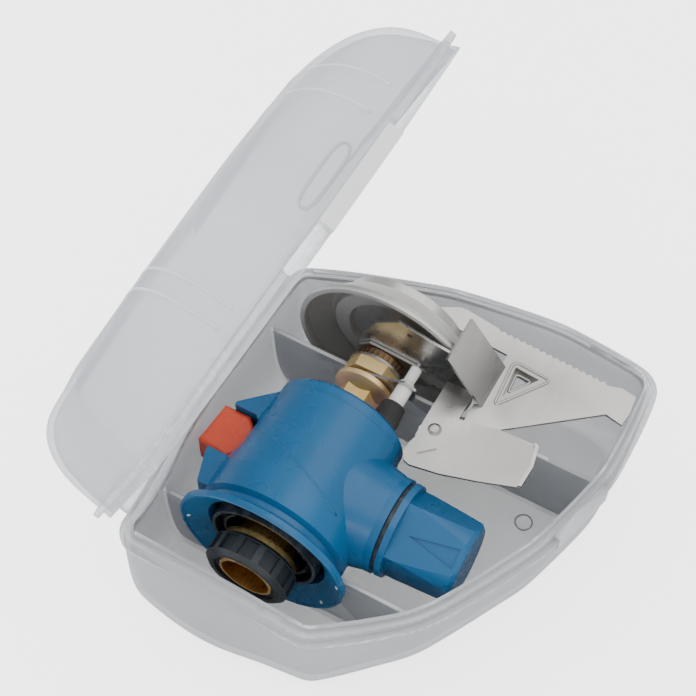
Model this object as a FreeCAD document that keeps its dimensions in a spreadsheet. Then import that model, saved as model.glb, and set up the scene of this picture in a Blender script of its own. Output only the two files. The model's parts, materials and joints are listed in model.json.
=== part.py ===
import FreeCAD, Part
import math
import os
import Sketcher

# A compact gas stove lying on its side in an open clamshell case.
# X runs from the hinge to the latch, Y along the hinge and along the stove
# axis from the cartridge coupling to the burner, Z up from the case underside.

doc = FreeCAD.newDocument("stove_case")
V = FreeCAD.Vector
Rotation = FreeCAD.Rotation
Placement = FreeCAD.Placement
X_AXIS = V(1, 0, 0)
Y_AXIS = V(0, 1, 0)
Z_AXIS = V(0, 0, 1)

SIZES = {
    # the assembly's origin, measured from the front corner by the hinge
    "base_x": 68, "base_y": 76,
    # case
    "tray_depth": 54, "lid_depth": 38.5, "case_wall": 1.8, "rim_gap": 0.4,
    "lip_out": 2.4, "lip_thick": 2.2, "lip_drop": 5.5, "tongue_high": 2.2,
    "hinge_x": -2.6, "lid_open": 67,
    "wall_one_y": 26, "wall_two_y": 105, "wall_thick": 1.8, "wall_high": 42,
    "cradle_gap": 0.9, "ledge_in": 3.2, "ledge_deep": 3, "tongue_start": 2.2, 
    "slot_long": 30, "tab_long": 27, "tab_out": 2.6, "tab_high": 9,
    "web_start": 6, "web_end": 124, "rib_high": 2.4, "rib_thick": 1.4, 
    # stove axis
    "axis_x": 48.8, "axis_z": 46.4,
    # housing
    "skirt_y": 19.6, "skirt_r": 33.5, "skirt_lip": 1.8, "mouth_r": 24,
    "neck_y": 24.5, "neck_r": 27.2, "bell_y": 28, "bell_r": 29,
    "shell_end_y": 75, "shell_end_r": 26, "shell_wall": 2.4,
    "cap_y": 80, "cap_r": 25.7, "cap_seat_y": 75.2, "cap_hole_r": 8.6,
    "cap_groove_r": 22.8, "cap_wall": 2.5,
    # knob
    "knob_y": 51, "boss_end_x": 85.3, "boss_r": 18.4, "boss_bore_r": 15.6,
    "knob_x": 87.1, "knob_end_x": 115.3, "knob_r": 18.2, "knob_tip_r": 15.4,
    "knob_sleeve_r": 14.6, "knob_sleeve_x": 78.3, "knob_hub_r": 5.4,
    "boss_start_x": 63.8, "flare_r": 22.4, "flare_short": 3, "boss_bore_x": 64.3, "knob_hub_x": 92.3, "knob_arrow_x": 94.3,
    "knob_turned": 24, "knob_wall": 2.4, "knob_flat": 14.2, "arrow_long": 18.5, "arrow_wide": 7.6, "arrow_deep": 0.9,
    "spindle_r": 2.9, "spindle_x": 60.3, "spindle_end_x": 104.3, 
    "gland_x": 63.5, "gland_end_x": 71.3, "gland_af": 13, "gland_bore_r": 2.96,
    "gland_seal_x": 67.3, "seal_wire_r": 0.9,
    # piezo
    "piezo_y": 52.4, "piezo_z": 47, "button_out_x": 7.7, "button_in_x": 23.3, "notch_in_x": 25.8,
    "button_tall": 15, "button_round": 1.8,
    "button_fit": 0.25, "shroud_out_x": 13.3, "shroud_wall": 2.6,
    "shroud_foot_x": 17.6, "shroud_foot_y": 28.8, "shroud_slope_y": 63.5,
    "igniter_r": 4.4, "igniter_x": 28.1, "igniter_end_x": 36.7, "plunger_r": 2.2,
    "plunger_x": 21.9, "button_half": 7.5, "button_half_long": 9.5,
    "button_bore": 7, "shroud_in_x": 31.3, "shroud_end_x": 25.3,
    # coupling
    "carrier_y": 21.4, "carrier_end_y": 34, "carrier_r": 21.2, "carrier_in_r": 16.2,
    "carrier_floor_y": 30.5, "carrier_slot": 9, "carrier_floor_r": 12.2, "grip_pocket": 5.8, "ring_y": 8, "ring_end_y": 18,
    "ring_r": 16.4, "ring_grip_r": 14.7, "ring_bore_r": 10.95, "ring_face_r": 12.4,
    "insert_y": 8.7, "insert_end_y": 30.2, "insert_r": 10.86, "insert_bore_r": 9.5,
    "insert_flange_r": 14.5, "insert_flange_y": 18.2, "insert_floor_y": 26, "insert_seat_r": 7.4, "insert_seat_y": 22.7,
    "inlet_seal_y": 24.2, "inlet_seal_r": 5.2, "pin_r": 1.1, "pin_y": 23.2,
    # valve body
    "valve_y": 34.3, "valve_end_y": 72.5, "valve_r": 11.4, "valve_port_r": 8.4,
    "valve_bore_r": 3.4, "spigot_r": 5.4, "valve_port_in": 6, "spindle_room": 8, "knurl_nick": 0.8, "jet_bore_r": 0.6, "outlet_end_y": 100.2,
    # neck fittings
    "nut_low_y": 80.3, "nut_low_af": 15.4, "nut_flange_y": 92.5, "nut_flange_r": 11.8,
    "nut_low_end_y": 97.4, "nut_bore_r": 5.46, "nut_top_y": 99.4, "nut_top_af": 19.4,
    "nut_top_end_y": 104.3, "washer_r": 11, "washer_thick": 1.1,
    "collar_y": 105.6, "collar_end_y": 109.4, "collar_r": 9.8,
    "tube_r": 6.8, "tube_wall": 1, "tube_end_y": 127, "jet_af": 7,
    "jet_start_y": 100.3, "jet_end_y": 110,
    # burner
    "dish_y": 112.8, "dish_back_y": 124, "dish_r": 37.4, "dish_side_r": 36.2,
    "dish_corner_r": 29.6, "dish_step_r": 27, "dish_step_y": 120.8,
    "dish_flat_r": 20.5, "sheet": 0.8, "dish_hole_r": 7.0,
    "head_y": 124.4, "head_end_y": 130.4, "head_r": 26.4, "head_top_r": 24.4,
    "head_wall": 1.4, "port_r": 1, "screen_r": 23.8, "screen_y": 127.4,
    # pan supports
    "arm_z": 51.8, "arm_thick": 1.2, "hub_bore_r": 6.88, "hub_thick": 1.1,
    "upper_hub_y": 110.9, "lower_hub_y": 109.6, "strip_end_y": 127, "strip_y": 107,
    "pivot_x": 33, "pivot_y": 89.5, "low_arm_z": 53.4, "rivet_r": 1.7, "rivet_head_r": 2.6, "rivet_head": 0.7, "pan_deep": 2.4,
    # electrode
    "boot_x": 64.7, "boot_z": 56.9, "boot_r": 5.2, "boot_y": 80.3, "boot_end_y": 89.5,
    "rod_r": 3.1, "rod_neck_y": 100, "rod_end_y": 107.5, "rod_tip_r": 0.8,
    "rod_tip_end_y": 110.5, "clip_y": 97.55, "clip_thick": 1,
}


def add_sizes():
    sheet = doc.addObject("Spreadsheet::Sheet", "sizes")
    row = 1
    for alias in SIZES:
        sheet.set("A%d" % row, alias)
        sheet.set("B%d" % row, str(SIZES[alias]))
        sheet.setAlias("B%d" % row, alias)
        row = row + 1
    doc.recompute()
    return sheet


sheet = add_sizes()
parts = []


def amount(text):
    """Value of a sum of products written with size names and numbers."""
    total = 0.0
    term = 0.0
    sign = "+"
    for token in str(text).split():
        if token in ("+", "-", "*", "/"):
            sign = token
            continue
        value = SIZES[token] if token in SIZES else float(token)
        if sign == "*":
            term = term * value
        elif sign == "/":
            term = term / value
        else:
            total = total + term
            term = value if sign == "+" else -value
    return total + term


def linked(text):
    """The same sum written as a spreadsheet expression."""
    words = []
    for token in str(text).split():
        words.append("sizes." + token if token in SIZES else token)
    return " ".join(words)


def bind(obj, prop, text):
    obj.setExpression(prop, linked(text))


def place(obj, x, y, z):
    """Put an object at a place given by three size sums."""
    obj.Placement = Placement(V(amount(x), amount(y), amount(z)), obj.Placement.Rotation)
    bind(obj, "Placement.Base.x", x)
    bind(obj, "Placement.Base.y", y)
    bind(obj, "Placement.Base.z", z)


def keep(obj, label):
    obj.Label = label
    parts.append(obj)
    return obj


def new_body(label):
    return keep(doc.addObject("PartDesign::Body", label + "_body"), label)


def plane_of(body, role):
    for item in body.Origin.OriginFeatures:
        if item.Role == role:
            return item
    return None


def sketch_on(body, role, offset="0"):
    sketch = body.newObject("Sketcher::SketchObject", "profile")
    sketch.AttachmentSupport = [(plane_of(body, role), "")]
    sketch.MapMode = "FlatFace"
    sketch.AttachmentOffset = Placement(V(0, 0, amount(offset)), Rotation())
    if offset != "0":
        bind(sketch, "AttachmentOffset.Base.z", offset)
    return sketch


def pin_point(sketch, index, end, x, y):
    """Hold one point of a sketch at two size sums."""
    for kind, text in (("DistanceX", x), ("DistanceY", y)):
        value = amount(text)
        number = sketch.addConstraint(Sketcher.Constraint(kind, -1, 1, index, end, value))
        sketch.setExpression("Constraints[%d]" % number, linked(text))


def draw_outline(sketch, points):
    """Closed outline through points, each held by its own two sizes."""
    count = len(points)
    spots = [V(amount(x), amount(y), 0) for x, y in points]
    first = sketch.GeometryCount
    for i in range(count):
        sketch.addGeometry(Part.LineSegment(spots[i], spots[(i + 1) % count]), False)
    for i in range(count):
        following = first + (i + 1) % count
        sketch.addConstraint(Sketcher.Constraint("Coincident", first + i, 2, following, 1))
    for i in range(count):
        pin_point(sketch, first + i, 1, points[i][0], points[i][1])


def draw_circle(sketch, x, y, radius):
    spot = V(amount(x), amount(y), 0)
    index = sketch.addGeometry(Part.Circle(spot, Z_AXIS, amount(radius)), False)
    pin_point(sketch, index, 3, x, y)
    number = sketch.addConstraint(Sketcher.Constraint("Radius", index, amount(radius)))
    sketch.setExpression("Constraints[%d]" % number, linked(radius))


def turned(body, points, axis="V_Axis", kind="PartDesign::Revolution", role="XY_Plane"):
    """Turn an outline about the body's own axis, adding or cutting."""
    sketch = sketch_on(body, role)
    draw_outline(sketch, points)
    turn = body.newObject(kind, "turned")
    turn.Profile = sketch
    turn.ReferenceAxis = (sketch, [axis])
    turn.Angle = 360
    sketch.Visibility = False
    doc.recompute()
    return turn


def padded(body, role, offset, length, points=(), circles=(), kind="PartDesign::Pad", both=False, inside=()):
    """Pad or pocket an outline and circles lying on one of the body's planes."""
    sketch = sketch_on(body, role, offset)
    for outline in (points, inside):
        if outline:
            draw_outline(sketch, outline)
    for x, y, radius in circles:
        draw_circle(sketch, x, y, radius)
    pad = body.newObject(kind, "raised")
    pad.Profile = sketch
    pad.Type = 0
    pad.Length = amount(length)
    bind(pad, "Length", length)
    pad.Midplane = both
    sketch.Visibility = False
    doc.recompute()
    return pad


def around(body, feature, axis_role, count):
    """Repeat the last feature evenly round one of the body's axes."""
    pattern = body.newObject("PartDesign::PolarPattern", "around")
    pattern.Originals = [feature]
    pattern.Axis = (plane_of(body, axis_role), [""])
    pattern.Angle = 360
    pattern.Occurrences = count
    body.Tip = pattern
    doc.recompute()
    return pattern


def hexagon(flats):
    """Corner sums of a hexagon with its flats up and down."""
    half = flats + " / 2"
    corner = flats + " / 1.7320508"
    side = flats + " / 3.4641016"
    low_half = flats + " / -2"
    low_corner = flats + " / -1.7320508"
    low_side = flats + " / -3.4641016"
    return [(corner, "0"), (side, half), (low_side, half),
            (low_corner, "0"), (low_side, low_half), (side, low_half)]


def on_axis(label):
    """A body whose own Y axis is the stove axis."""
    body = new_body(label)
    place(body, "axis_x", "0", "axis_z")
    return body


def fixed_shape(label, shape):
    """A sub-part whose shape needs curves that sketches do not draw."""
    item = doc.addObject("Part::Feature", label + "_shape")
    item.Shape = shape
    return keep(item, label)


# ---------------------------------------------------------------- case

# Rim corners of the case, the radius that rounds each one and the number of
# points that draw it.
RIM = (
    (3.5, -1.5, 8, 3), (24, -1.6, 60, 1), (44, -1.8, 60, 1), (62, -2.5, 60, 1), (80, -3.2, 10, 3),
    (112, 21, 60, 2), (136, 66, 60, 2),
    (146, 104, 60, 2), (145, 150, 12, 4), (104, 154.5, 90, 2), (58, 148.5, 90, 2),
    (2.5, 128.5, 9, 3), (0.5, 88, 10, 1), (0.5, 42, 10, 1),
)
CENTRE = V(68, 78, 0)


def eased_corner(before, here, after, radius, steps):
    """Points along the arc-like curve that eases one corner."""
    back = (before - here).normalize()
    ahead = (after - here).normalize()
    half = 0.5 * back.getAngle(ahead)
    room = 0.46 * min((before - here).Length, (after - here).Length)
    reach = min(radius / math.tan(half), room) if half < 1.57 else 0
    if steps == 1:
        return [here + (back + ahead) * (reach / 4)]
    points = []
    for k in range(steps + 1):
        t = k / steps
        start = (here + back * reach) * ((1 - t) ** 2)
        middle = here * (2 * t * (1 - t))
        points.append(start + middle + (here + ahead * reach) * (t ** 2))
    return points


def rounded_loop(corners):
    """Points along a closed outline whose corners are eased."""
    points = []
    for i in range(len(corners)):
        here = corners[i]
        before = corners[i - 1]
        after = corners[(i + 1) % len(corners)]
        spots = [V(c[0], c[1], 0) for c in (before, here, after)]
        points = points + eased_corner(spots[0], spots[1], spots[2], here[2], here[3])
    return points


RIM_POINTS = rounded_loop(RIM)


def inward_normals(points):
    normals = []
    count = len(points)
    for i in range(count):
        along = (points[(i + 1) % count] - points[i]).normalize()
        along = along + (points[i] - points[i - 1]).normalize()
        normals.append(V(-along.y, along.x, 0).normalize())
    return normals


RIM_NORMALS = inward_normals(RIM_POINTS)


def near(point, x, y, reach):
    """One beside a spot on the rim, fading to nothing away from it."""
    return math.exp(-((point.x - x) ** 2 + (point.y - y) ** 2) / reach ** 2)


def tray_lean(point):
    """How strongly the tray's wall leans in: least at the front hinge corner."""
    return 0.6 + 0.3 * near(point, 125, 45, 45) - 0.45 * near(point, 10, 0, 45)


def tray_belly(point):
    """How far the tray's front wall swells out below the rim."""
    return 8 * near(point, 38, -4, 30) + 1.5 * near(point, 80, -4, 22)


def lid_lean(point):
    """How strongly the lid's wall leans in: most at the corner far from the hinge."""
    lean = 0.45 + 0.3 * near(point, 0, 0, 45) + 0.15 * near(point, 0, 70, 60)
    return lean + 1.5 * near(point, 148, 152, 55) + 0.4 * near(point, 60, 150, 50)


def no_belly(point):
    return 0


# Share of the depth, how far the wall leans in there and how much it swells.
TRAY_STAGES = ((0, 0, 0), (0.3, 0.4, 0.75), (0.6, 1.6, 1), (0.8, 4, 0.95), (0.93, 9, 0.7), (1, 17, 0.4))
LID_STAGES = ((0, 0, 0), (0.36, 2.2, 0), (0.66, 6, 0), (0.86, 12.5, 0), (0.96, 20, 0), (1, 32, 0))


def level(z, lean_in, normal_in, lean=tray_lean, belly=no_belly, swell=0):
    """Closed smooth section of the case at one height."""
    spots = []
    for i in range(len(RIM_POINTS)):
        point = RIM_POINTS[i]
        toward = (CENTRE - point).normalize()
        moved = point + toward * (lean_in * lean(point))
        moved = moved + RIM_NORMALS[i] * (normal_in - swell * belly(point))
        spots.append(V(moved.x, moved.y, z))
    curve = Part.BSplineCurve()
    curve.interpolate(Points=spots, PeriodicFlag=True)
    return Part.Wire([curve.toShape()])


def bowl(depth, inset, stages, lean, belly, top=0):
    """Solid bowl hanging below z 0, inset on every side by a wall."""
    wires = []
    if top:
        wires.append(level(top, 0, inset))
    for share, lean_in, swell in stages:
        wires.append(level(-depth * share, lean_in, inset, lean, belly, swell))
    return Part.makeLoft(wires, True, False)


def band(z_low, z_high, outer_in, inner_in):
    """Upright ring following the rim between two insets."""
    face = Part.Face([level(z_low, 0, outer_in), level(z_low, 0, inner_in)])
    face.validate()
    return face.extrude(V(0, 0, z_high - z_low))


def box(x0, x1, y0, y1, z0, z1):
    return Part.makeBox(x1 - x0, y1 - y0, z1 - z0, V(x0, y0, z0))


def rod(x, y, z, radius, length, direction):
    return Part.makeCylinder(radius, length, V(x, y, z), direction)


LATCH_AT = V(141.6, 86, 0)
LATCH_ANGLE = 75


def latch_block(long, z0, z1, out, inset):
    """Block set along the rim at the latch, standing out from it."""
    block = box(-inset, out, -long / 2, long / 2, z0, z1)
    block.rotate(V(0, 0, 0), Z_AXIS, LATCH_ANGLE - 90)
    block.translate(LATCH_AT)
    return block


def cross_wall(y, top):
    """Upright dividing wall across the tray."""
    thick = amount("wall_thick")
    return box(-10, 160, y - thick / 2, y + thick / 2, -amount("tray_depth"), top)


def make_tray():
    depth = amount("tray_depth")
    wall = amount("case_wall")
    top = amount("wall_high") - depth
    axis_z = amount("axis_z") - depth
    axis_x = amount("axis_x")
    body_r = amount("neck_r") + amount("cradle_gap")
    neck_r = amount("nut_top_af") / 2 + 2.4
    one = cross_wall(amount("wall_one_y"), top)
    one = one.cut(rod(axis_x, amount("wall_one_y") - 5, axis_z, body_r, 10, Y_AXIS))
    one = one.cut(box(axis_x - body_r, axis_x + body_r, 20, 35, axis_z, 5))
    two = cross_wall(amount("wall_two_y"), top)
    two = two.cut(rod(axis_x, amount("wall_two_y") - 5, axis_z, neck_r, 10, Y_AXIS))
    two = two.cut(box(axis_x - neck_r, axis_x + neck_r, 98, 112, axis_z, 5))
    tray = (TRAY_STAGES, tray_lean, tray_belly)
    cavity = bowl(depth - wall, wall, *tray, 1).cut(Part.makeCompound([one, two]))
    shell = bowl(depth, 0, *tray).cut(cavity)
    drop = amount("lip_drop")
    lip = band(-drop, -drop + amount("lip_thick"), -amount("lip_out"), 0.9)
    lip = lip.cut(box(-20, -0.6, -20, 200, -20, 5))
    ledge = band(-amount("ledge_deep"), 0, 1, amount("ledge_in"))
    tongue = band(-1, amount("tongue_high"), amount("tongue_start"), amount("ledge_in"))
    tongue = tongue.cut(box(-20, 9, -20, 200, -20, 5))
    tab = latch_block(amount("tab_long"), -amount("tab_high"), -0.6, amount("tab_out"), 1.2)
    whole = shell.multiFuse([lip, ledge, tongue, tab])
    whole.translate(V(0, 0, depth))
    return fixed_shape("case_tray", whole)


def make_lid():
    """Made as a bowl like the tray, then turned over on to it and opened."""
    depth = amount("lid_depth")
    wall = amount("case_wall")
    thick = amount("rib_thick")
    ribs = []
    for y in (amount("wall_one_y"), amount("wall_two_y"), 136):
        ribs.append(box(-10, 160, y - thick / 2, y + thick / 2, -depth, -depth + wall + amount("rib_high")))
    style = (LID_STAGES, lid_lean, no_belly)
    cavity = bowl(depth - wall, wall, *style, 1).cut(Part.makeCompound(ribs))
    shell = bowl(depth, 0, *style).cut(cavity)
    drop = amount("lip_drop")
    lip = band(-drop, -drop + amount("lip_thick"), -amount("lip_out"), 0.9)
    lip = lip.cut(box(-20, -0.6, -20, 200, -20, 5))
    hood = latch_block(amount("slot_long") + 7, -drop, 0, 5.4, -0.6)
    lid = shell.multiFuse([lip, hood])
    slot = latch_block(amount("slot_long"), -10, 5, 4, -1.9)
    lid = lid.cut(slot)
    lid = lid.mirror(V(0, 0, 0), Z_AXIS)
    item = fixed_shape("case_lid", lid)
    closed = Placement(V(0, 0, amount("tray_depth") + amount("rim_gap")), Rotation())
    pivot = V(amount("hinge_x"), 0, amount("tray_depth") + amount("rim_gap") / 2)
    opened = Placement(V(0, 0, 0), Rotation(Y_AXIS, -amount("lid_open")), pivot)
    item.Placement = opened.multiply(closed)
    return item


def make_web():
    """Thin strip that bends between the two hinge edges of the case."""
    body = new_body("hinge_web")
    place(body, "hinge_x", "0", "tray_depth + rim_gap / 2")
    length = "web_end - web_start"
    outline = [("1.5", "-1.3"), ("2.2", "-0.9"), ("2.2", "-0.4"), ("-0.35", "0.9"), ("-1.2", "2.3"),
               ("-1.7", "2.1"), ("-0.9", "0.5")]
    padded(body, "XZ_Plane", "web_end * -1", length, outline)
    return body


# ------------------------------------------------------------- housing

def make_housing():
    body = on_axis("housing")
    outer = [("skirt_r", "skirt_y"), ("skirt_r", "skirt_y + skirt_lip"), ("neck_r", "neck_y"),
             ("neck_r", "neck_y + 2"), ("bell_r", "bell_y"), ("bell_r", "bell_y + 10"),
             ("shell_end_r", "shell_end_y")]
    inner = [("shell_end_r - shell_wall", "shell_end_y"), ("bell_r - shell_wall", "bell_y + 10"),
             ("bell_r - shell_wall", "bell_y + 2"), ("mouth_r", "bell_y"), ("mouth_r", "neck_y - 1"),
             ("skirt_r - skirt_lip", "skirt_y")]
    turned(body, outer + inner)
    padded(body, "YZ_Plane", "boss_start_x - axis_x", "boss_end_x - boss_start_x",
           circles=[("knob_y", "0", "boss_r")])
    flare = body.newObject("PartDesign::AdditiveCone", "boss_flare")
    flare.Radius1 = amount("flare_r")
    flare.Radius2 = amount("boss_r")
    flare.Height = amount("boss_end_x - boss_start_x - flare_short")
    flare.Placement = Placement(V(0, 0, 0), Rotation(Y_AXIS, 90))
    place(flare, "boss_start_x - axis_x", "knob_y", "0")
    bind(flare, "Radius1", "flare_r")
    bind(flare, "Radius2", "boss_r")
    bind(flare, "Height", "boss_end_x - boss_start_x - flare_short")
    doc.recompute()
    shroud = [("shroud_out_x - axis_x + 0.6", "piezo_y - 12"), ("shroud_foot_x - axis_x", "shroud_foot_y"),
              ("shroud_in_x - axis_x", "shroud_foot_y"), ("shroud_in_x - axis_x", "shell_end_y"),
              ("shroud_end_x - axis_x", "shell_end_y"), ("shroud_out_x - axis_x", "shroud_slope_y"),
              ("shroud_out_x - axis_x", "piezo_y - 9")]
    padded(body, "XY_Plane", "piezo_z - axis_z", "button_tall + shroud_wall + shroud_wall", shroud, both=True)
    padded(body, "YZ_Plane", "boss_end_x - axis_x", "boss_end_x - boss_bore_x",
           circles=[("knob_y", "0", "boss_bore_r")], kind="PartDesign::Pocket")
    notch_low = "piezo_y - button_half_long - button_fit"
    notch_high = "piezo_y + button_half_long + button_fit"
    notch = [("shroud_out_x - axis_x - 5", notch_low),
             ("notch_in_x - axis_x - 3.4", notch_low),
             ("notch_in_x - axis_x", "piezo_y - button_half_long + 3"),
             ("notch_in_x - axis_x", "piezo_y + button_half_long - 3"),
             ("notch_in_x - axis_x - 3.4", notch_high),
             ("shroud_out_x - axis_x - 5", notch_high)]
    padded(body, "XY_Plane", "piezo_z - axis_z + 20", "20 + button_half + button_fit", notch,
           kind="PartDesign::Pocket")
    hollow = [("0", "shell_end_y + 1"), ("shell_end_r - shell_wall", "shell_end_y + 1")]
    turned(body, hollow + inner[:4] + [("mouth_r", "neck_y - 1"), ("0", "neck_y - 1")],
           kind="PartDesign::Groove")
    return body


def make_cap():
    body = on_axis("top_cap")
    outline = [("cap_hole_r", "cap_y"), ("cap_r - 1.2", "cap_y"), ("cap_r", "cap_y - 1.2"),
               ("cap_r", "cap_seat_y"), ("cap_groove_r", "cap_seat_y"),
               ("cap_groove_r", "cap_y - cap_wall"), ("cap_hole_r", "cap_y - cap_wall")]
    turned(body, outline)
    return body


def across(label, z="axis_z", y="knob_y"):
    """A body whose own X axis crosses the stove axis."""
    body = new_body(label)
    place(body, "0", y, z)
    return body


def make_knob():
    body = new_body("knob")
    body.Placement = Placement(V(0, 0, 0), Rotation(X_AXIS, amount("knob_turned")))
    place(body, "0", "knob_y", "axis_z")
    outline = [("knob_end_x", "0"), ("knob_end_x", "knob_tip_r - 1.5"), ("knob_end_x - 1.5", "knob_tip_r"),
               ("knob_x", "knob_r"), ("knob_x", "knob_sleeve_r"), ("knob_sleeve_x", "knob_sleeve_r"),
               ("knob_sleeve_x", "knob_sleeve_r - knob_wall"), ("knob_end_x - knob_wall", "knob_sleeve_r - knob_wall"),
               ("knob_end_x - knob_wall", "knob_hub_r"), ("knob_hub_x", "knob_hub_r"),
               ("knob_hub_x", "spindle_r + 0.05"), ("spindle_end_x + 0.3", "spindle_r + 0.05"),
               ("spindle_end_x + 0.3", "0")]
    turned(body, outline, axis="H_Axis")
    block = [("knob_x + 2.4", "-20"), ("knob_end_x + 2", "-20"), ("knob_end_x + 2", "20"), ("knob_x + 2.4", "20")]
    cut = padded(body, "XY_Plane", "knob_flat + 8", "8", block, kind="PartDesign::Pocket")
    around(body, cut, "X_Axis", 5)
    arrow = [("knob_arrow_x", "0"), ("knob_arrow_x + arrow_long", "arrow_wide / -2"),
             ("knob_arrow_x + arrow_long", "arrow_wide / 2")]
    padded(body, "XY_Plane", "knob_flat", "arrow_deep", arrow, kind="PartDesign::Pocket")
    return body


def make_spindle():
    body = across("valve_spindle")
    turned(body, [("spindle_x", "0"), ("spindle_x", "spindle_r"), ("spindle_end_x", "spindle_r"),
                  ("spindle_end_x", "0")], axis="H_Axis")
    return body


def make_gland():
    body = across("gland_nut")
    padded(body, "YZ_Plane", "gland_x", "gland_end_x - gland_x", hexagon("gland_af"))
    padded(body, "YZ_Plane", "gland_end_x", "gland_end_x - gland_x",
           circles=[("0", "0", "gland_bore_r")], kind="PartDesign::Pocket")
    groove = [("gland_seal_x - 1.1", "gland_bore_r - 0.5"), ("gland_seal_x + 1.1", "gland_bore_r - 0.5"),
              ("gland_seal_x + 1.1", "gland_bore_r + 1.9"), ("gland_seal_x - 1.1", "gland_bore_r + 1.9")]
    turned(body, groove, axis="H_Axis", kind="PartDesign::Groove")
    return body


def make_ring_seal(label, main_r, x="0", y="0", z="0", tilt=None):
    seal = doc.addObject("Part::Torus", label + "_torus")
    seal.Radius1 = amount(main_r)
    seal.Radius2 = amount("seal_wire_r")
    bind(seal, "Radius1", main_r)
    bind(seal, "Radius2", "seal_wire_r")
    if tilt:
        seal.Placement = Placement(V(0, 0, 0), tilt)
    place(seal, x, y, z)
    return keep(seal, label)


def make_button():
    body = new_body("piezo_button")
    place(body, "0", "piezo_y", "piezo_z")
    outline = [("button_out_x", "button_half_long * -1 + 2"), ("button_in_x - 3.2", "button_half_long * -1"),
               ("button_in_x", "button_half_long * -1 + 3.2"), ("button_in_x", "button_half_long - 3.2"),
               ("button_in_x - 3.2", "button_half_long"), ("button_out_x + 1.5", "button_half_long")]
    pad = padded(body, "XY_Plane", "0", "button_tall", outline, both=True)
    sides = []
    for number, edge in enumerate(pad.Shape.Edges):
        middle = edge.CenterOfMass
        if middle.z > amount("button_half") - 0.1 and middle.x < amount("button_in_x") - 1:
            sides.append("Edge%d" % (number + 1))
    fillet = body.newObject("PartDesign::Fillet", "side_rounds")
    fillet.Base = (pad, sides)
    fillet.Radius = amount("button_round")
    bind(fillet, "Radius", "button_round")
    doc.recompute()
    body.Tip = fillet
    padded(body, "YZ_Plane", "button_in_x", "button_bore", circles=[("0", "0", "plunger_r + 0.4")],
           kind="PartDesign::Pocket")
    return body


def make_igniter():
    body = new_body("piezo_igniter")
    place(body, "0", "piezo_y", "piezo_z")
    turned(body, [("plunger_x", "0"), ("plunger_x", "plunger_r"), ("igniter_x", "plunger_r"),
                  ("igniter_x", "igniter_r"), ("igniter_end_x", "igniter_r"), ("igniter_end_x", "0")],
           axis="H_Axis")
    return body


# ------------------------------------------------------------ coupling

def make_carrier():
    body = on_axis("coupling_carrier")
    turned(body, [("carrier_in_r", "carrier_y + 1.5"), ("carrier_in_r + 1", "carrier_y + 1.5"),
                  ("carrier_in_r + 1", "carrier_y + 4"), ("carrier_r - 1.3", "carrier_y + 4"),
                  ("carrier_r - 1.3", "carrier_y"), ("carrier_r", "carrier_y"), ("carrier_r", "carrier_end_y"),
                  ("carrier_floor_r", "carrier_end_y"), ("carrier_floor_r", "carrier_floor_y"),
                  ("carrier_in_r", "carrier_floor_y")])
    slot = [("carrier_in_r - 2", "carrier_y - 1"), ("carrier_in_r + 2.6", "carrier_y - 1"),
            ("carrier_in_r + 2.6", "carrier_y + 6"), ("carrier_in_r - 2", "carrier_y + 6")]
    cut = padded(body, "XY_Plane", "0", "carrier_slot", slot, kind="PartDesign::Pocket", both=True)
    around(body, cut, "Y_Axis", 3)
    return body


def make_lock_ring():
    body = on_axis("lock_ring")
    turned(body, [("ring_face_r", "ring_y"), ("ring_grip_r", "ring_y"), ("ring_r", "ring_y + 1.4"),
                  ("ring_r", "ring_end_y - 1.4"), ("ring_grip_r", "ring_end_y"), ("ring_bore_r", "ring_end_y"),
                  ("ring_bore_r", "ring_y + 2"), ("ring_face_r", "ring_y + 1.2")])
    pocket = [("ring_grip_r", "ring_y + 1.6"), ("ring_r + 1", "ring_y + 1.6"),
              ("ring_r + 1", "ring_end_y - 1.8"), ("ring_grip_r", "ring_end_y - 1.8")]
    cut = padded(body, "XY_Plane", "0", "grip_pocket", pocket, kind="PartDesign::Pocket", both=True)
    around(body, cut, "Y_Axis", 12)
    return body


def make_insert():
    body = on_axis("brass_insert")
    turned(body, [("insert_bore_r", "insert_y"), ("insert_r - 0.3", "insert_y"), ("insert_r", "insert_y + 0.4"),
                  ("insert_r", "insert_flange_y"), ("insert_flange_r", "insert_flange_y"),
                  ("insert_flange_r", "insert_flange_y + 2"), ("insert_r", "insert_flange_y + 2"),
                  ("insert_r", "insert_end_y"), ("pin_r + 1.6", "insert_end_y"),
                  ("pin_r + 1.6", "insert_floor_y"), ("insert_seat_r", "insert_floor_y"),
                  ("insert_seat_r", "insert_seat_y"), ("insert_bore_r", "insert_seat_y")])
    return body


def make_pin():
    body = on_axis("opening_pin")
    turned(body, [("0", "pin_y"), ("pin_r", "pin_y"), ("pin_r", "insert_end_y - 1"),
                  ("pin_r + 1.5", "insert_end_y - 1"), ("pin_r + 1.5", "valve_y - 0.4"),
                  ("0", "valve_y - 0.4")])
    return body


def make_valve():
    body = on_axis("valve_body")
    turned(body, [("valve_bore_r", "valve_y"), ("valve_r", "valve_y"), ("valve_r", "valve_end_y - 3"),
                  ("spigot_r", "valve_end_y"), ("spigot_r", "outlet_end_y"), ("valve_bore_r", "outlet_end_y")])
    padded(body, "YZ_Plane", "valve_port_in", "gland_x - axis_x - valve_port_in - 0.1",
           circles=[("knob_y", "0", "valve_port_r")])
    padded(body, "YZ_Plane", "gland_x - axis_x", "spindle_room", circles=[("knob_y", "0", "spindle_r + 0.35")],
           kind="PartDesign::Pocket")
    return body


# ---------------------------------------------------- neck and burner

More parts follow.
